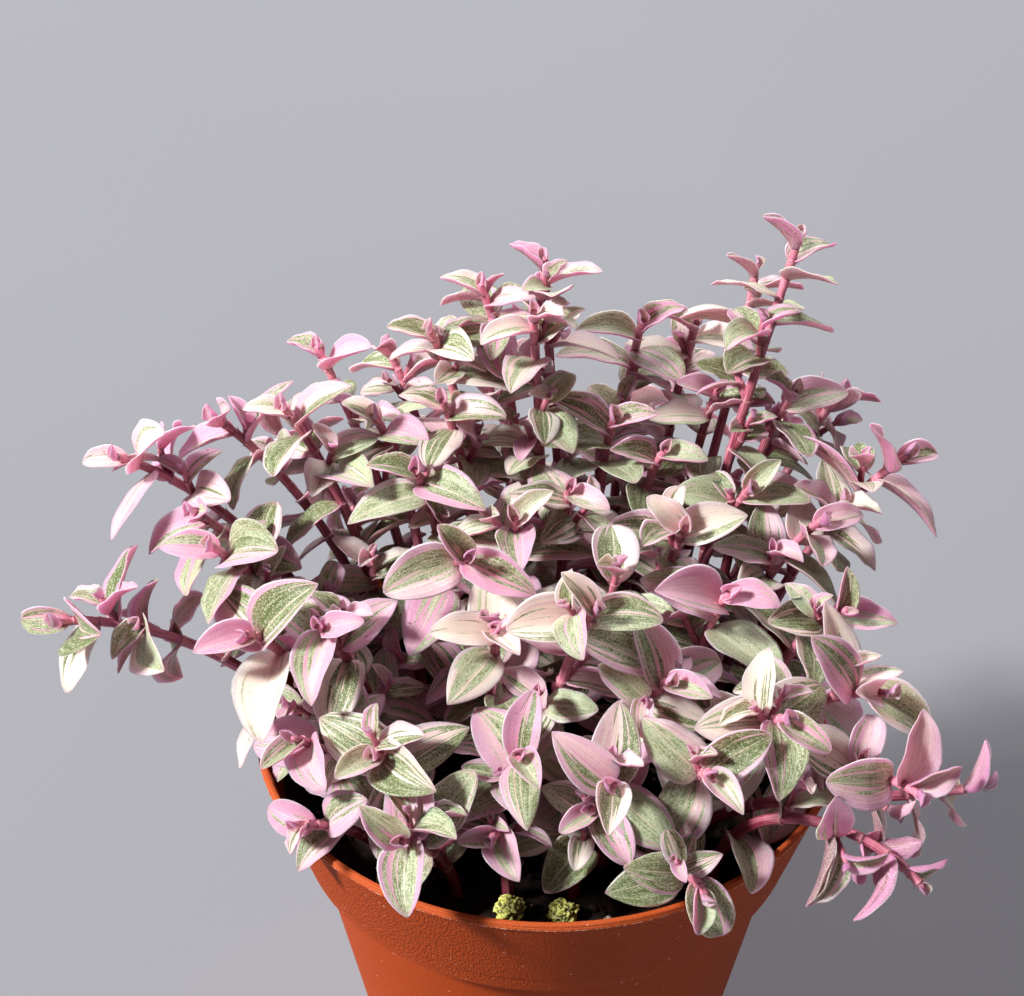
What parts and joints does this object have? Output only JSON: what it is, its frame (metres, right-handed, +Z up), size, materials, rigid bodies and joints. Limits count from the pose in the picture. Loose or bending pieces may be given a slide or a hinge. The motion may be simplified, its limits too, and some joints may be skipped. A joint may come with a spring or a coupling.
{
  "type": "potted tradescantia",
  "caption": "Bushy trailing house plant with small keeled leaves in spirals on arching stems, growing in a tapered round nursery pot filled with peat.",
  "frame": {"origin": "middle of the flat underside of the pot's base", "axes": "+Z up, -Y towards the side the plant shows best, +X to the right seen from there"},
  "size_m": [0.1915, 0.154, 0.1951],
  "materials": {
    "pot": "terracotta-coloured, satin, with a fine hammered grain on the collar",
    "soil": "damp crumbly peat, nearly black",
    "granule": "rough yellow-green clump",
    "foliage": "smooth pearly leaves striped grey-green, pale pink and cream, on maroon stems"
  },
  "bodies": {
    "root": {"pot": "pot", "soil": "soil", "granule_1": "granule", "granule_2": "granule", "shoot_01": "foliage", "shoot_02": "foliage", "shoot_03": "foliage", "shoot_04": "foliage", "shoot_05": "foliage", "shoot_06": "foliage", "shoot_07": "foliage", "shoot_08": "foliage", "shoot_09": "foliage", "shoot_10": "foliage", "shoot_11": "foliage", "shoot_12": "foliage", "shoot_13": "foliage", "shoot_14": "foliage", "shoot_15": "foliage", "shoot_16": "foliage", "shoot_17": "foliage", "shoot_18": "foliage", "shoot_19": "foliage", "shoot_20": "foliage", "shoot_21": "foliage", "shoot_22": "foliage", "shoot_23": "foliage", "shoot_24": "foliage", "shoot_25": "foliage", "shoot_26": "foliage", "shoot_27": "foliage", "shoot_28": "foliage", "shoot_29": "foliage", "shoot_30": "foliage", "shoot_31": "foliage", "shoot_32": "foliage", "shoot_33": "foliage", "shoot_34": "foliage", "shoot_35": "foliage", "shoot_36": "foliage", "shoot_37": "foliage", "shoot_38": "foliage", "shoot_39": "foliage", "shoot_40": "foliage", "shoot_41": "foliage", "shoot_42": "foliage", "shoot_43": "foliage", "shoot_44": "foliage", "shoot_45": "foliage", "shoot_46": "foliage", "shoot_47": "foliage", "shoot_48": "foliage", "shoot_49": "foliage", "shoot_50": "foliage", "shoot_51": "foliage", "shoot_52": "foliage", "shoot_53": "foliage", "shoot_54": "foliage", "shoot_55": "foliage", "shoot_56": "foliage"}
  },
  "joints": []
}
